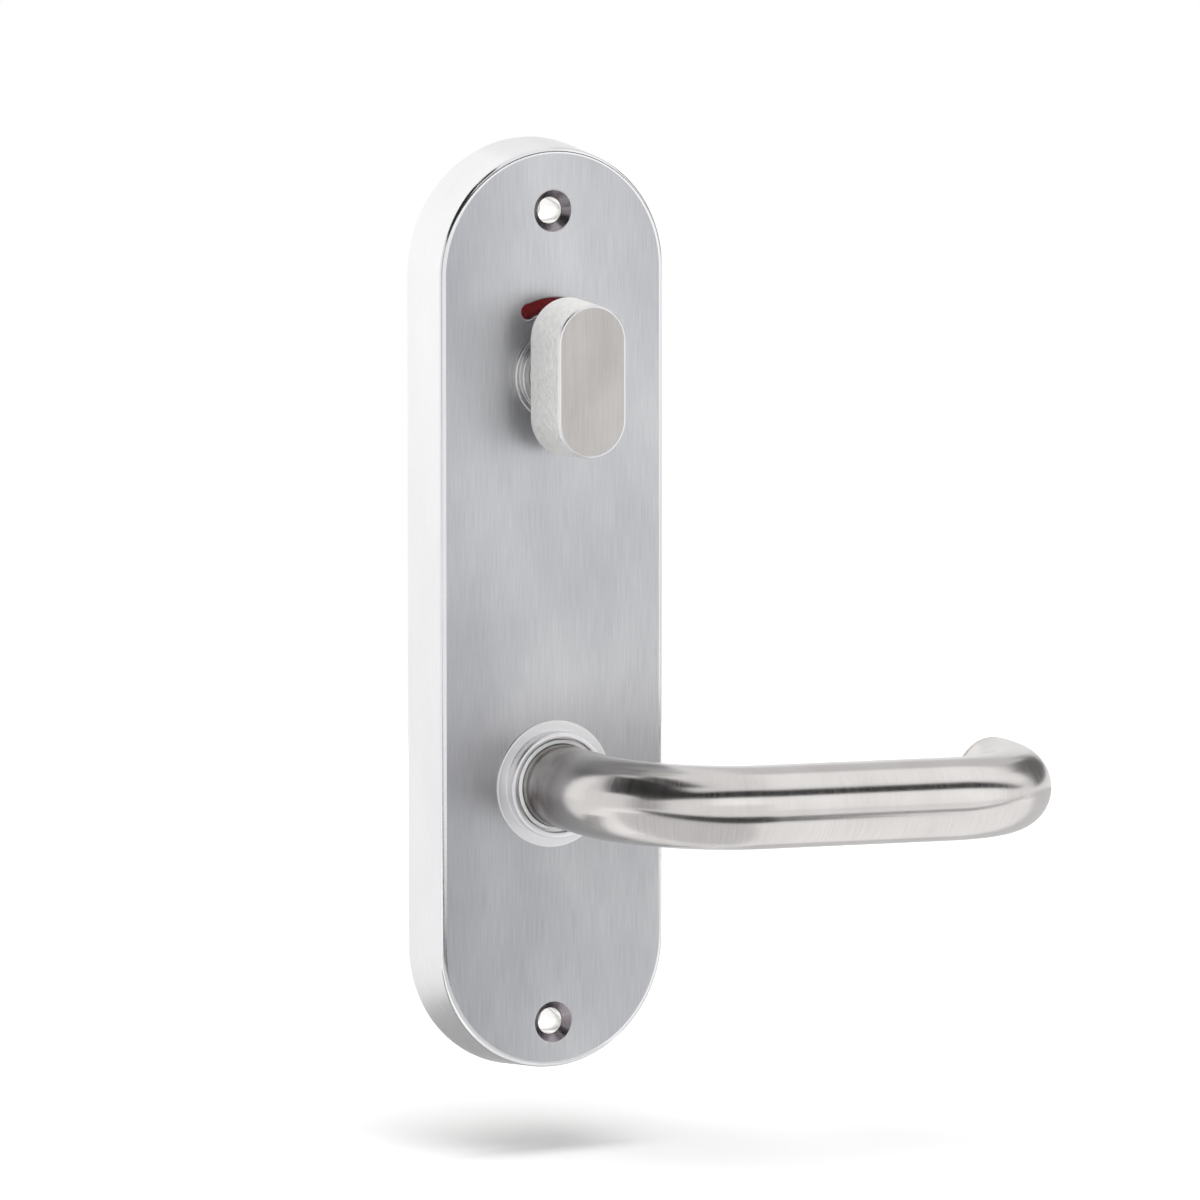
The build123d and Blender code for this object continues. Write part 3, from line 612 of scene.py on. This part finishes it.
def buildTube(shape):
    # The wall is the tube's points on grids of way s and angle, at the outer and inner radius
    outer, inner = shape["radius"], shape["radius"] - shape["wall"]
    bend = shape["bend"]
    straights = shape["reach"] - 2 * bend + shape["endStraight"]
    total = shape["barAhead"] - bend - shape["start"] + np.pi * bend + straights
    holeS = shape["screwAhead"] - shape["start"]
    under = np.radians(-90 - common["leverFall"])
    steps = shape["aroundSteps"]
    around = under + np.linspace(-np.pi, np.pi, steps + 1)
    middle = steps // 2
    # The rows and columns round the screw hole leave a gap, which a holed cell fills
    cell, count, margin, even = (shape[key] for key in ("cellHalf", "cellSteps", "endMargin", "evenFrom"))
    near = np.linspace(holeS - cell, holeS + cell, count + 1)
    low = np.linspace(0, near[0], 7)
    evenRows = np.linspace(even, total - 2 * margin, shape["evenRows"])
    high = np.concatenate([np.linspace(near[-1], even, 6)[:-1], evenRows, [total - margin]])

    def skin(s, angle, radius):
        s, angle = np.meshgrid(s, angle, indexing="ij")
        return patch(tubePoints(shape, s, angle, radius), s, angle * radius)

    patches = []
    for radius in (outer, inner):
        patches += [skin(low, around, radius), skin(high, around, radius)]
        patches.append(skin(near, around[: middle - count + 1], radius))
        patches.append(skin(near, around[middle + count :], radius))
    side = around[middle - count : middle + count + 1]
    edge = cellOutline(near, side)
    turn = np.arctan2((edge[:, 1] - under) * outer, edge[:, 0] - holeS)

    def holeRow(radius, hole):
        # Angle off the tube's underside = arcsin(distance sideways / radius)
        sideways = np.arcsin(np.clip(hole * np.sin(turn) / radius, -1, 1))
        return np.stack([holeS + hole * np.cos(turn), under + sideways], -1)

    hole = shape["screwHole"]
    rows = [(edge * (1 - t) + holeRow(outer, hole + 0.35) * t, outer) for t in np.linspace(0, 1, 7)]
    rows += [(holeRow(outer, hole + 0.15), outer), (holeRow(outer - 0.05, hole + 0.04), outer - 0.05)]
    rows += [(holeRow(outer - 0.15, hole), outer - 0.15), (holeRow(inner, hole), inner)]
    rows += [(holeRow(inner, hole) * (1 - t) + edge * t, inner) for t in np.linspace(0, 1, 5)[1:]]
    outlines, radii = zip(*rows)
    s, angle = np.moveaxis(np.stack(outlines), -1, 0)
    radius = np.array(radii)[:, None]
    patches.append(patch(tubePoints(shape, s, angle, radius), s, angle * radius))
    # End ring with a small round, and the hidden ring at the neck
    bow = np.linspace(0, np.pi / 2, 6)
    small = shape["endRound"]
    endS = np.concatenate([[total - margin], total - small + small * np.sin(bow), [total, total]])
    endR = np.concatenate([[outer], outer - small + small * np.cos(bow), [outer - 0.5, inner]])
    last = tubePoints(shape, endS[:, None], around, endR[:, None])
    patches.append(patch(last, endS[:, None], around * outer))
    closing = tubePoints(shape, np.array([[total], [total - margin]]), around, inner)
    patches.append(patch(closing, np.array([[0.0], [margin]]), around * inner))
    neck = tubePoints(shape, np.zeros((2, 1)), around, np.array([[outer], [inner]]))
    patches.append(patch(neck, np.array([[0.0], [shape["wall"]]]), around * outer))
    makePiece("leverTube", "lever", patches, ["leverSteel"], ["lever_tube"])
    # Cap: the tube's round carried on past its end and closed, with a bevelled rim
    thick, bevel = shape["capThickness"], shape["capBevel"]
    corners = [(0.0, 0.0), (outer, 0.0), (outer, thick), (0.0, thick)]
    profile = roundedProfile(corners, [0, small, bevel, 0], steps=8, guard=0.05)
    capS = total + profile[:, 1, None]
    points = tubePoints(shape, capS, around, profile[:, 0, None])
    cap = patch(points, total + travel(profile)[:, None], around * outer)
    makePiece("leverEndCap", "lever", [cap], ["leverSteel"], ["lever_end_cap"])


buildTube(tubeShape)

# Rose of the turn: two turned steps round the bush
roseShape = {
    "bore": 7.98, "spigot": 9.18, "step": 9.88, "radius": 11.18, "stepHeight": 2.0, "height": 3.4,
    "aroundSteps": 144,
}


def buildRose(shape):
    # A stepped profile turned about the turn's axis
    front = common["plateFront"]
    back, top = front - common["wall"], front + shape["height"]
    radii = [shape[key] for key in ("bore", "spigot", "radius", "step", "bore")]
    aheads = (back, front, front + shape["stepHeight"], top)
    rounds = [0.1, 0.1, 0.02, 0.12, 0.5, 0.25, 0.45, 0.2]
    profile = ringProfile(radii, aheads, rounds, steps=8, guard=0.04)
    skin = turnedSkin(profile, common["turnZ"], fullTurn(shape["aroundSteps"]))
    makePiece("turnRose", "plate", [skin], ["roseSteel"], ["turn_rose"])


buildRose(roseShape)

# Knob of the turn: a round-ended block that grows a little to the back, with a flat brushed front
knobShape = {
    "halfWidth": 9.0, "halfHeight": 18.25, "lean": 0.8, "back": 21.175, "depth": 14.0,
    "frontBevel": 0.5, "backRound": 1.2, "neck": 8.2, "neckBack": 18.675, "bore": 6.53,
    "boreFront": 30.205, "screwHole": 2.03, "screwAhead": 25.675, "screwDepth": 3.9, "cellHalf": 4.0,
    "cellBelow": 3.0, "cellSteps": 16, "sideSteps": 4, "arcSteps": 48,
}


def buildKnob(shape):
    # The outline's half sizes are those of the front, and insets below zero are further out
    half, lean, centreZ = shape["halfWidth"], shape["lean"], common["turnZ"]
    back, front = shape["back"], shape["back"] + shape["depth"]
    straight = shape["halfHeight"] - half
    cell, cellSteps, sideSteps = shape["cellHalf"], shape["cellSteps"], shape["sideSteps"]
    below = np.linspace(-straight, -cell, sideSteps + 1)
    level = np.linspace(-cell, cell, cellSteps + 1)
    side = np.concatenate([below, level[1:-1], -below[::-1]])
    path = slotPath(half, shape["halfHeight"], side, shape["arcSteps"])
    spine, dx, dz, along = path

    def leanAt(ahead):
        # Inset = minus lean * distance behind the front / depth
        return -lean * (front - ahead) / shape["depth"]

    bevel, small = shape["frontBevel"], shape["backRound"]
    # Front face: rows of growing inset that close on the spine
    faceInset = np.concatenate([[bevel + 0.02], np.linspace(bevel + 0.3, half, 10)])
    faceRows = np.stack([faceInset, np.full(len(faceInset), front)], -1)
    # Bevel, side and back round
    turn = np.radians(np.linspace(0, 90, 6))
    bevelIn = bevel + 0.02 - bevel * np.sin(turn)
    bevelAhead = front - bevel * 0.9 * (1 - np.cos(turn))
    holeLow, holeHigh = shape["screwAhead"] - shape["cellBelow"], shape["screwAhead"] + cell
    upper = np.linspace(bevelAhead[-1] - 0.12, holeHigh, 4)
    between = np.linspace(holeHigh, holeLow, 15)
    lower = np.array([holeLow, back + small])
    bow = np.radians(np.linspace(0, 90, 8))
    roundIn = leanAt(back + small) + small * (1 - np.cos(bow))
    roundAhead = back + small - small * np.sin(bow)

    def strip(ahead):
        return np.stack([leanAt(ahead), ahead], -1)

    face, cast, bright = range(3)  # places of the finishes in the piece's list
    bevelRows = np.vstack([np.stack([bevelIn, bevelAhead], -1)[:-1], strip(bevelAhead[-1:])])
    sideRows = np.vstack([strip(bevelAhead[-1:]), strip(upper)])
    skins = [(faceRows, face), (bevelRows, bright), (sideRows, cast)]
    patches = [slotSkin(path, half, rows, centreZ, finish) for rows, finish in skins]
    # The rows round the screw hole leave a gap on the right side, which a holed cell fills
    rightHigh = len(along) - 1 - sideSteps
    rightLow = rightHigh - cellSteps
    points, grain, _ = slotSkin(path, half, strip(between), centreZ)
    for part in (slice(None, rightLow + 1), slice(rightHigh, None)):
        patches.append((points[:, part], grain[:, part], cast))
    outline = cellOutline(level, between)[:, ::-1]
    centre, deep = np.array([shape["screwAhead"], 0.0]), shape["screwDepth"]
    ring, way = roundHole(outline, centre, shape["screwHole"])
    rows = [(outline, 0), (ring + 0.3 * way, 0), (ring + 0.12 * way, 0), (ring + 0.03 * way, 0.04)]
    rows += [(ring, 0.14), (ring, 2.2), (ring, deep), (ring * 0 + centre, deep)]
    outlines, depths = zip(*rows)
    flat, depth = np.stack(outlines), np.array(depths)[:, None]
    points = place(half - leanAt(flat[..., 0]) - depth, flat[..., 0], centreZ + flat[..., 1])
    patches.append(patch(points, flat[..., 0], flat[..., 1] + depth, cast))
    backRows = np.vstack([strip(lower), np.stack([roundIn, roundAhead], -1)[1:]])
    patches.append(slotSkin(path, half, backRows, centreZ, cast))
    # Back face and neck
    radius = half - roundIn[-1]
    outline = np.stack([radius * dx, spine + radius * dz], -1)
    ring, way = roundHole(outline, np.zeros(2), shape["neck"])
    bore, neckBack, boreFront = shape["bore"], shape["neckBack"], shape["boreFront"]
    long = back - neckBack
    rows = [(0, 0, 0), (0.6, 0, 0), (1, 0.3, 0), (1, 0.08, 0.1), (1, 0, 0.3), (1, 0, long - 0.25)]
    rows += [(1, -0.07, long - 0.07), (1, -0.25, long), (1, bore - shape["neck"], long)]
    points, grain, _ = holedCell(outline, ring, way, rows, back)
    patches.append((points + np.array([0, 0, centreZ * millimetre]), grain, cast))
    inside = np.array([(bore, neckBack), (bore, boreFront), (0, boreFront)])
    patches.append(turnedSkin(inside, centreZ, np.arctan2(way[:, 1], way[:, 0]), cast))
    metal = ["knobFront", "knobCast", "collarSteel"]
    makePiece("turnKnob", "turn", patches, metal, ["turn_knob"])


buildKnob(knobShape)

# Square bars that reach into the lock, drawn with rounded edges and bevelled ends
barShapes = {
    "leverSpindle": {"half": 4.0, "round": 0.5, "bevel": 0.9, "back": -38.0, "front": 28.975, "z": "leverZ"},
    "tailBar": {
        "half": 2.5, "round": 0.3, "bevel": 0.7, "back": -38.0, "z": "turnZ",
        "front": -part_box("tail_bar")[0].y / millimetre,
    },
}


def buildBar(name, shape, body, node):
    # A rounded square carried along the bar: its size is 0 at the end, grows over the bevel, then stays
    half, bevel = shape["half"], shape["bevel"]
    square = [(half, half), (-half, half), (-half, -half), (half, -half)]
    outline = roundedProfile(square, [shape["round"]] * 4, closed=True, steps=7, guard=0.05)
    small = 1 - bevel / half
    length = shape["front"] - shape["back"]
    size = np.array([0, small - 0.03, small, 1, 1, 1, 1, 0])
    way = np.array([0, 0, 0.02, bevel, bevel + 0.1, length * 0.6, length, length])
    ahead = shape["back"] + way
    x, z = outline.T
    points = place(size[:, None] * x, ahead[:, None], common[shape["z"]] + size[:, None] * z)
    skin = patch(points, travel(outline), ahead[:, None])
    makePiece(name, body, [skin], ["barSteel"], [node])


buildBar("leverSpindle", barShapes["leverSpindle"], "lever", "lever_spindle")
buildBar("tailBar", barShapes["tailBar"], "turn", "tail_bar")

# Screws with a hexagon socket: four countersunk ones in the back plate, and two grub screws, whose sockets
# are in the outer end: down for the lever's screw, to the right for the turn's
screwShape = {
    "head": 3.8, "shaft": 2.0, "length": 9.0, "socket": 1.25, "socketDepth": 1.3, "socketFloor": 0.75,
    "socketEdge": 0.12, "places": [(x, z) for x in (-20.0, 20.0) for z in (-84.0, 84.0)],
    "aroundSteps": 72,
}
grubShapes = {
    "leverGrubScrew": {
        "radius": 2.5, "socket": 1.25, "socketDepth": 1.8, "socketFloor": 0.8, "socketEdge": 0.1,
        "body": "lever", "node": "lever_grub_screw", "aroundSteps": 72,
    },
    "turnGrubScrew": {
        "radius": 2.0, "socket": 1.0, "socketDepth": 1.2, "socketFloor": 0.8, "socketEdge": 0.1,
        "body": "turn", "node": "turn_grub_screw", "aroundSteps": 72,
    },
}


def screwRows(shape, rest):
    # Radii and depths from the middle of the socket over its edge, then the rest of the screw. Radius of the
    # hexagon = its inner radius / cos(angle from the middle of the nearest flat)
    angle = fullTurn(shape["aroundSteps"])
    hexagon = shape["socket"] / np.cos((angle + np.pi / 6) % (np.pi / 3) - np.pi / 6)
    deep = shape["socketDepth"]
    rows = [(0, deep + 0.3), (shape["socketFloor"] * hexagon, deep), (hexagon, deep)]
    rows += [(hexagon, shape["socketEdge"]), (hexagon + 0.1, 0)] + rest
    rings, depths = zip(*rows)
    radius = np.stack([np.broadcast_to(ring, angle.shape) for ring in rings])
    return angle, radius, np.array(depths)[:, None]


def buildScrews(shape):
    # x, z = place + radius * (cos angle, sin angle) for each row, and ahead = the row's depth
    head, shaft, length = shape["head"], shape["shaft"], shape["length"]
    rest = [(head - 0.35, 0), (head - 0.12, 0), (head - 0.05, 0.05), (head - 0.1, 0.12)]
    rest += [(shaft, head - shaft), (shaft, length - 0.4), (shaft - 0.4, length), (0, length)]
    angle, radius, ahead = screwRows(shape, rest)
    patches = []
    for x, z in shape["places"]:
        points = place(x + radius * np.cos(angle), ahead, z + radius * np.sin(angle))
        patches.append(patch(points, radius, angle * head))
    makePiece("backScrews", "plate", patches, ["screwSteel"], ["back_screws"])


def buildGrub(name, shape):
    # Rows turned about the axis through the node's box: up from the socket, or left from it
    low, high = (np.array(corner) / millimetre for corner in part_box(shape["node"]))
    x, ahead, z = (low + high) / 2 * (1, -1, 1)
    pointsDown = shape["body"] == "lever"
    length = (high - low)[2 if pointsDown else 0]
    size = shape["radius"]
    rest = [(size - 0.3, 0), (size, 0.3), (size, length - 0.6), (size - 0.6, length), (0, length)]
    angle, radius, depth = screwRows(shape, rest)
    first, second = radius * np.cos(angle), radius * np.sin(angle)
    if pointsDown:
        points = place(x + first, ahead + second, low[2] + depth)
    else:
        points = place(high[0] - depth, ahead + first, z + second)
    skin = patch(points, radius, angle * size)
    makePiece(name, shape["body"], [skin], ["clipSteel"], [shape["node"]])


buildScrews(screwShape)
for name, shape in grubShapes.items():
    buildGrub(name, shape)

# Nodes that stay as they come from the frame, under the finish that each gets
carriedOver = {
    "innerSteel": [
        "back_plate", "cover_posts", "cassette_body", "cassette_cover", "lever_hub", "lever_washer",
        "spring_follower", "turn_shank", "indicator_disc",
    ],
    "sleeveSteel": ["fixing_sleeves"],
    "screwPlain": ["cassette_screws"],
    "springSteel": ["return_spring", "detent_spring", "turn_washer"],
    "nylon": ["turn_bush"],
    "clearLens": ["window_lens"],
    "brass": ["detent_rivets", "detent_cam"],
    "clipSteel": ["lever_circlip", "turn_circlip"],
    "redEnamel": ["indicator_red"],
    "greenEnamel": ["indicator_green"],
}
for finish, nodes in carriedOver.items():
    for node in nodes:
        mesh = cadNodes[node].data
        mesh.materials.clear()
        mesh.materials.append(materials[finish])
print("carried over:", sum(len(nodes) for nodes in carriedOver.values()), "nodes")

# Studio in metres: pale floor, white surround, and cards that only shiny surfaces see. The floor lies under
# the tip of the lever at its limit, and the lying cards just above the floor
studio = {
    "floorZ": -0.1328, "floorSize": 0.6, "floorColour": (0.92, 0.92, 0.92, 1), "floorGlow": 0.11,
    "ambient": 0.27, "cardZ": -0.1324, "arcLine": (-0.05, -0.04), "arcSteps": 11,
}


def emptyAdder(owner):
    # The same for a tree that is emptied first
    add = nodeAdder(owner)
    owner.node_tree.nodes.clear()
    return add


def whiteRays(add):
    # 1 for camera, glossy and transmission rays, 0 for all others
    rays = add("ShaderNodeLightPath").outputs
    white = rays["Is Camera Ray"]
    for name in ("Is Glossy Ray", "Is Transmission Ray"):
        white = add("ShaderNodeMath", {0: white, 1: rays[name]}, operation="MAXIMUM")
    return white


def stageSheet(name, points, material, hiddenRays=()):
    # A sheet between two lines of points, which are the columns of the grid
    corner = np.arange(len(points) - 1)[:, None] * 2
    faces = np.concatenate([corner, corner + 1, corner + 3, corner + 2], 1)
    mesh = bpy.data.meshes.new(name)
    mesh.from_pydata(points.reshape(-1, 3).tolist(), [], faces.tolist())
    mesh.materials.append(material)
    sheet = linkObject(name, mesh)
    for rays in hiddenRays:
        setattr(sheet, "visible_" + rays, False)


def buildFloor():
    # Diffuse floor that keeps the shadow, lifted to white for the white rays, and clear from below
    material = bpy.data.materials.new("floorPaper")
    add = emptyAdder(material)
    level = add("ShaderNodeMath", {0: whiteRays(add), 1: studio["floorGlow"]}, operation="MULTIPLY")
    glow = add("ShaderNodeEmission", {"Strength": level})
    paper = add("ShaderNodeBsdfDiffuse", {"Color": studio["floorColour"]})
    above, below = add("ShaderNodeAddShader", {0: paper, 1: glow}), add("ShaderNodeBsdfTransparent")
    side = add("ShaderNodeNewGeometry").outputs["Backfacing"]
    add("ShaderNodeOutputMaterial", {"Surface": add("ShaderNodeMixShader", {0: side, 1: above, 2: below})})
    edge = studio["floorSize"] * np.array([-1, 1])
    grid = np.broadcast_arrays(edge[None, :], edge[:, None], studio["floorZ"])
    stageSheet("floor", np.stack(grid, -1), material)


buildFloor()

# "arc" cards are strips of a cylinder about a line along X through the lever, from one angle above the front
# horizon to another. "flat" cards stand on a line between two heights, "lying" cards lie between two corners
cards = {
    "topGapCard": {"arc": (33.5, 52), "distance": 0.7, "x": (-0.3, 2.5), "level": 0.02},
    "leftGapCard": {"arc": (36, 118), "distance": 0.8, "x": (-1.6, -0.31), "level": 0.03},
    "topLeftGapCard": {"arc": (66, 105), "distance": 0.8, "x": (-0.3, -0.12), "level": 0.03},
    "topCard": {"arc": (58, 107), "distance": 0.75, "x": (0.4, 2.5), "level": 1.18},
    "backTopCard": {"arc": (108, 150), "distance": 0.9, "x": (0.4, 2.5), "level": 0.75},
    "frontCard": {"flat": ((0.6, -1.3), (1.9, -1.0)), "heights": (-0.125, 1.1), "level": 1.22},
    "upperFrontCard": {"flat": ((-0.45, -1.3), (0.5, -1.3)), "heights": (0.28, 0.85), "level": 1.3},
    "leftCard": {"flat": ((-1.2, -0.9), (-1.25, -0.25)), "heights": (-0.125, 0.4), "level": 0.5},
    "rightCard": {"flat": ((1.2, 0.1), (1.0, 0.9)), "heights": (0.0, 0.7), "level": 0.15},
    "leftBackCard": {"flat": ((-1.1, 0.7), (0.3, 1.2)), "heights": (-0.125, 1.1), "level": 1.2},
    "lowGapCard": {"lying": ((0.143, -0.32), (1.5, -0.235)), "level": 0.42},
    "lowLeftCard": {"lying": ((-0.7, -0.37), (0.143, -0.2)), "level": 0.04},
    "nearFloorCard": {"lying": ((-0.3, -0.2), (0.049, -0.041)), "level": 0.75},
    "lowBackCard": {"lying": ((0.06, -0.03), (1.5, 0.4)), "level": 0.72},
    "underLeverCard": {"lying": ((0.05, -0.2), (0.45, -0.03)), "level": 1.15},
    "behindCard": {"lying": ((-0.15, 0.001), (0.05, 0.05)), "level": 0.4},
    "behindFloorCard": {"lying": ((-0.6, 0.05), (0.059, 0.6)), "level": 1.02},
    "farFloorCard": {"lying": ((-0.6, -0.6), (0.6, -0.38)), "level": 1.05},
    "lowWedgeCard": {"lying": ((-0.03, -0.04), (0.0, -0.018)), "level": 1.0},
}


def buildCard(name, card):
    # Arc: y = the line's y - distance * cos angle, z = the line's z + distance * sin angle
    if "arc" in card:
        angle = np.radians(np.linspace(*card["arc"], studio["arcSteps"] + 1))[:, None]
        lineY, lineZ = studio["arcLine"]
        x = np.array(card["x"])
        y, z = lineY - card["distance"] * np.cos(angle), lineZ + card["distance"] * np.sin(angle)
    elif "flat" in card:
        x, y = np.array(card["flat"]).T
        z = np.array(card["heights"])[:, None]
    else:
        x, y = np.array(card["lying"]).T
        y, z = y[:, None], studio["cardZ"]
    material = bpy.data.materials.new(name)
    add = emptyAdder(material)
    add("ShaderNodeOutputMaterial", {"Surface": add("ShaderNodeEmission", {"Strength": card["level"]})})
    hiddenRays = ("camera", "diffuse", "transmission", "shadow", "volume_scatter")
    stageSheet(name, np.stack(np.broadcast_arrays(x, y, z), -1), material, hiddenRays)


for name, card in cards.items():
    buildCard(name, card)

# One wide soft light from above draws the shadow on the floor. Angle and tilt are degrees
skyLight = {"strength": 3.2, "angle": 54.0, "tilt": (16.0, -7.0)}


def buildLight(setting):
    data = bpy.data.lights.new("skyLight", "SUN")
    data.energy = setting["strength"]
    data.angle = np.radians(setting["angle"])
    light = linkObject("skyLight", data)
    light.rotation_euler = (*np.radians(setting["tilt"]), 0)
    light.visible_glossy = False


buildLight(skyLight)


def buildWorld():
    # White for the white rays, a lower level for the light that falls on the object
    world = bpy.data.worlds.new("surround")
    add, colour = emptyAdder(world), (1, 1, 1, 1)
    ambient = add("ShaderNodeBackground", {"Color": colour, "Strength": studio["ambient"]})
    white = add("ShaderNodeBackground", {"Color": colour})
    mix = add("ShaderNodeMixShader", {0: whiteRays(add), 1: ambient, 2: white})
    add("ShaderNodeOutputWorld", {"Surface": mix})
    bpy.context.scene.world = world


buildWorld()

# Camera at the photograph's angle, in degrees, metres and millimetres of lens
viewPoint = {
    "azimuth": -28.1, "elevation": 7.8, "distance": 2.7, "lens": 338.4, "aim": (0, -0.015, 0),
    "right": 0.0112, "up": 0.0024, "clipEnd": 100,
}


def buildCamera(setting):
    # Position = aim + distance * the way back, then a little right and up in the picture's plane
    azimuth, elevation = np.radians(setting["azimuth"]), np.radians(setting["elevation"])
    level = np.cos(elevation)
    back = Vector((np.sin(azimuth) * level, -np.cos(azimuth) * level, np.sin(elevation)))
    data = bpy.data.cameras.new("photoCamera")
    data.lens = setting["lens"]
    data.clip_end = setting["clipEnd"]
    camera = linkObject("photoCamera", data)
    turn = (-back).to_track_quat("-Z", "Y")
    aside = turn @ Vector((setting["right"], setting["up"], 0))
    camera.rotation_euler = turn.to_euler()
    camera.location = Vector(setting["aim"]) + back * setting["distance"] + aside
    bpy.context.scene.camera = camera


buildCamera(viewPoint)
bpy.context.scene.view_settings.view_transform = "Standard"
print("studio ready")
